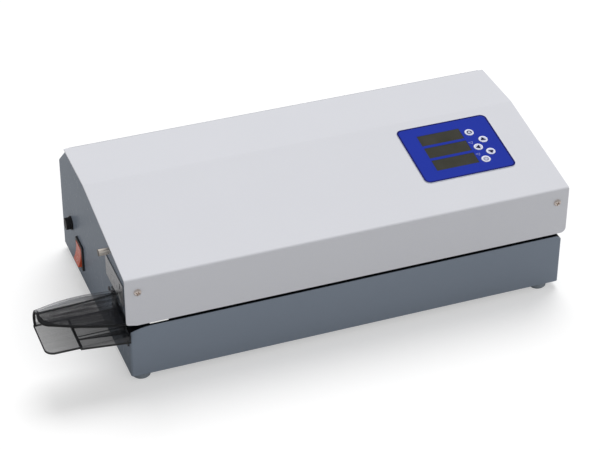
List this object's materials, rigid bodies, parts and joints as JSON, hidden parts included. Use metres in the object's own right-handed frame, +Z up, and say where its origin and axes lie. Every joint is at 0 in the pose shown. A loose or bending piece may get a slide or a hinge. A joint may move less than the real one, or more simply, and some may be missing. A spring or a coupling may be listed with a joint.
{
  "type": "rotary heat sealer",
  "caption": "Bench-top rotary heat sealer with a sloped metal cover, a through slot for pouches, a smoked infeed guide and a membrane control panel.",
  "frame": {"origin": "middle of the bounding box in plan, at the level the feet stand on", "axes": "+X along the feed from the infeed guide to the outfeed end, +Y from the front to the rear, +Z up"},
  "size_m": [0.586, 0.2742, 0.1566],
  "materials": {
    "housing": "fine texture",
    "cover": "satin",
    "foot": "matte",
    "steel_screw": "satin",
    "smoked": "gloss",
    "bright_plate": "brushed",
    "nickel": "satin",
    "black_plastic": "satin",
    "orange_lens": "gloss",
    "brass": "satin",
    "panel": "satin",
    "display": "gloss",
    "key": "satin",
    "board": "satin",
    "zinc": "satin",
    "belt": "satin",
    "alu": "satin",
    "steel": "ground",
    "silicone": "matte",
    "white_plastic": "gloss",
    "spring_steel": "satin"
  },
  "bodies": {
    "frame": {"base_housing": "housing", "top_cover": "cover", "rubber_feet": "foot", "large_screws": "steel_screw", "small_screws": "steel_screw", "infeed_tray": "smoked", "infeed_hood": "smoked", "adjuster_plate": "bright_plate", "thumb_screw_nut": "brass", "switch_frame": "black_plastic", "fuse_holder": "black_plastic", "mains_inlet": "black_plastic", "inlet_pins": "brass", "panel_overlay": "panel", "display_windows": "display", "control_board": "board", "chassis_plate": "zinc", "fixed_pins": "steel", "lower_belt": "belt", "upper_belt": "belt", "drive_bushes": "brass", "motor_plate": "zinc", "motor_pillars": "steel", "drive_motor": "alu", "lower_heater": "alu", "spring_brackets": "zinc", "heater_springs": "spring_steel", "arm_spring": "spring_steel", "power_supply": "board", "infeed_glide": "white_plastic", "infeed_sensor": "black_plastic"},
    "rocker": {"switch_rocker": "orange_lens"},
    "cap": {"fuse_cap": "black_plastic"},
    "thumb": {"thumb_screw": "nickel"},
    "lower_drive": {"lower_drive_pulley": "alu", "lower_drive_shaft": "steel", "lower_drive_gear": "steel"},
    "upper_drive": {"upper_drive_pulley": "alu", "upper_drive_shaft": "steel", "upper_drive_gear": "steel"},
    "lower_idler": {"lower_idler_pulley": "alu"},
    "upper_idler": {"upper_idler_pulley": "alu"},
    "pinion": {"motor_pinion": "brass", "motor_shaft": "steel"},
    "lower_roller": {"lower_roller_core": "alu", "lower_roller_sleeve": "silicone"},
    "upper_roller": {"upper_roller_core": "alu", "upper_roller_sleeve": "silicone"},
    "arm": {"pressure_arm": "zinc", "upper_roller_pin": "steel"},
    "upper_bar": {"upper_heater": "alu", "heater_carrier": "zinc"},
    "cycle_key_body": {"cycle_key": "key"},
    "up_key_body": {"up_key": "key"},
    "select_key_body": {"select_key": "key"},
    "down_key_body": {"down_key": "key"},
    "standby_key_body": {"standby_key": "key"}
  },
  "joints": [
    {"name": "rocker_tip", "type": "hinge", "parent": "frame", "child": "rocker", "pos_m": [-0.2038, 0.05905, 0.0395], "axis": [0, -1, 0], "range_deg": [0, 18]},
    {"name": "fuse_cap_turn", "type": "hinge", "parent": "frame", "child": "cap", "pos_m": [-0.2038, 0.09355, 0.0585], "axis": [1, 0, 0], "range_deg": [0, 90]},
    {"name": "thumb_screw_turn", "type": "hinge", "parent": "frame", "child": "thumb", "pos_m": [-0.2039, -0.07045, 0.1283], "axis": [1, 0, 0], "range_deg": [-360, 360]},
    {"name": "cycle_key_press", "type": "slide", "parent": "frame", "child": "cycle_key_body", "axis": [0, 0.1686, -0.9857], "range_m": [0, 0.0004], "stiffness_N_per_m": 900, "springref_m": -0.0003},
    {"name": "up_key_press", "type": "slide", "parent": "frame", "child": "up_key_body", "axis": [0, 0.1686, -0.9857], "range_m": [0, 0.0004], "stiffness_N_per_m": 900, "springref_m": -0.0003},
    {"name": "select_key_press", "type": "slide", "parent": "frame", "child": "select_key_body", "axis": [0, 0.1686, -0.9857], "range_m": [0, 0.0004], "stiffness_N_per_m": 900, "springref_m": -0.0003},
    {"name": "down_key_press", "type": "slide", "parent": "frame", "child": "down_key_body", "axis": [0, 0.1686, -0.9857], "range_m": [0, 0.0004], "stiffness_N_per_m": 900, "springref_m": -0.0003},
    {"name": "standby_key_press", "type": "slide", "parent": "frame", "child": "standby_key_body", "axis": [0, 0.1686, -0.9857], "range_m": [0, 0.0004], "stiffness_N_per_m": 900, "springref_m": -0.0003},
    {"name": "lower_drive_turn", "type": "hinge", "parent": "frame", "child": "lower_drive", "pos_m": [0.248, -0.09545, 0.0547], "axis": [0, 1, 0], "continuous": true},
    {"name": "upper_drive_turn", "type": "hinge", "parent": "frame", "child": "upper_drive", "pos_m": [0.248, -0.09545, 0.0877], "axis": [0, 1, 0], "continuous": true},
    {"name": "lower_idler_turn", "type": "hinge", "parent": "frame", "child": "lower_idler", "pos_m": [-0.162, -0.09545, 0.0547], "axis": [0, 1, 0], "continuous": true},
    {"name": "upper_idler_turn", "type": "hinge", "parent": "frame", "child": "upper_idler", "pos_m": [-0.162, -0.09545, 0.0877], "axis": [0, 1, 0], "continuous": true},
    {"name": "motor_turn", "type": "hinge", "parent": "frame", "child": "pinion", "pos_m": [0.2205, -0.09545, 0.0547], "axis": [0, 1, 0], "continuous": true},
    {"name": "lower_roller_turn", "type": "hinge", "parent": "frame", "child": "lower_roller", "pos_m": [0.113, -0.09545, 0.0589], "axis": [0, 1, 0], "continuous": true},
    {"name": "arm_lift", "type": "hinge", "parent": "frame", "child": "arm", "pos_m": [0.161, -0.08195, 0.09], "axis": [0, 1, 0], "range_deg": [0, 2], "stiffness_Nm_per_rad": 6, "springref_deg": -2.86, "deforming": ["arm_spring"]},
    {"name": "upper_roller_turn", "type": "hinge", "parent": "arm", "child": "upper_roller", "pos_m": [0.113, -0.09545, 0.0835], "axis": [0, 1, 0], "continuous": true},
    {"name": "upper_bar_lift", "type": "slide", "parent": "frame", "child": "upper_bar", "axis": [0, 0, 1], "range_m": [0, 0.0015], "stiffness_N_per_m": 1500, "springref_m": -0.003, "deforming": ["heater_springs"]}
  ],
  "couplings": [
    {"joint": "upper_drive_turn", "follows": "lower_drive_turn", "ratio": -1},
    {"joint": "lower_idler_turn", "follows": "lower_drive_turn", "ratio": 1},
    {"joint": "upper_idler_turn", "follows": "lower_drive_turn", "ratio": -1},
    {"joint": "motor_turn", "follows": "lower_drive_turn", "ratio": -1.5},
    {"joint": "lower_roller_turn", "follows": "lower_drive_turn", "ratio": 1.3818},
    {"joint": "upper_roller_turn", "follows": "lower_drive_turn", "ratio": -1.3818}
  ]
}
